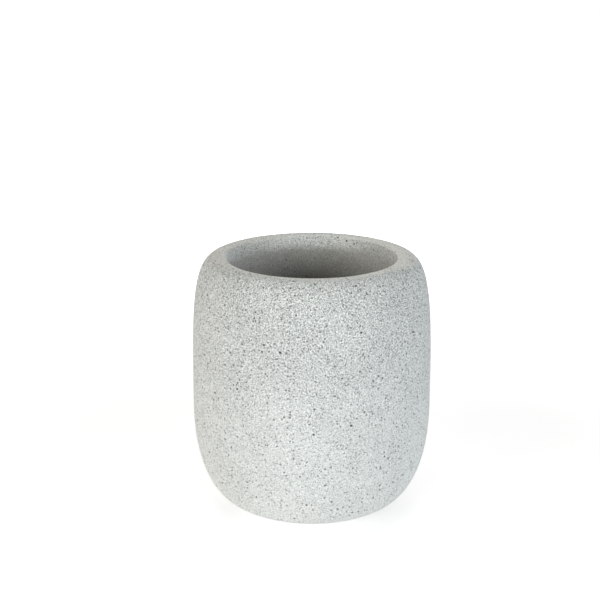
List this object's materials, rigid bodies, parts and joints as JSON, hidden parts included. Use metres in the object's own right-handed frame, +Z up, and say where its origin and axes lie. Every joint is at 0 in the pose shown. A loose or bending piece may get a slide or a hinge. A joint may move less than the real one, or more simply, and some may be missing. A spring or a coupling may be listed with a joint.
{
  "type": "bathroom tumbler",
  "caption": "Thick-walled round tumbler with a rolled rim and softly curved sides, for holding brushes or water at a basin.",
  "frame": {"origin": "centre of the circle of foot pads, on the surface that the tumbler stands on", "axes": "+Z up along the cup's axis, out of its mouth; X and Y pass between the foot pads"},
  "size_m": [0.088, 0.088, 0.094],
  "materials": {
    "stone_casting": "matte",
    "clear_pad": "satin"
  },
  "bodies": {
    "root": {"tumbler_body": "stone_casting", "foot_pad_1": "clear_pad", "foot_pad_2": "clear_pad", "foot_pad_3": "clear_pad", "foot_pad_4": "clear_pad"}
  },
  "joints": []
}
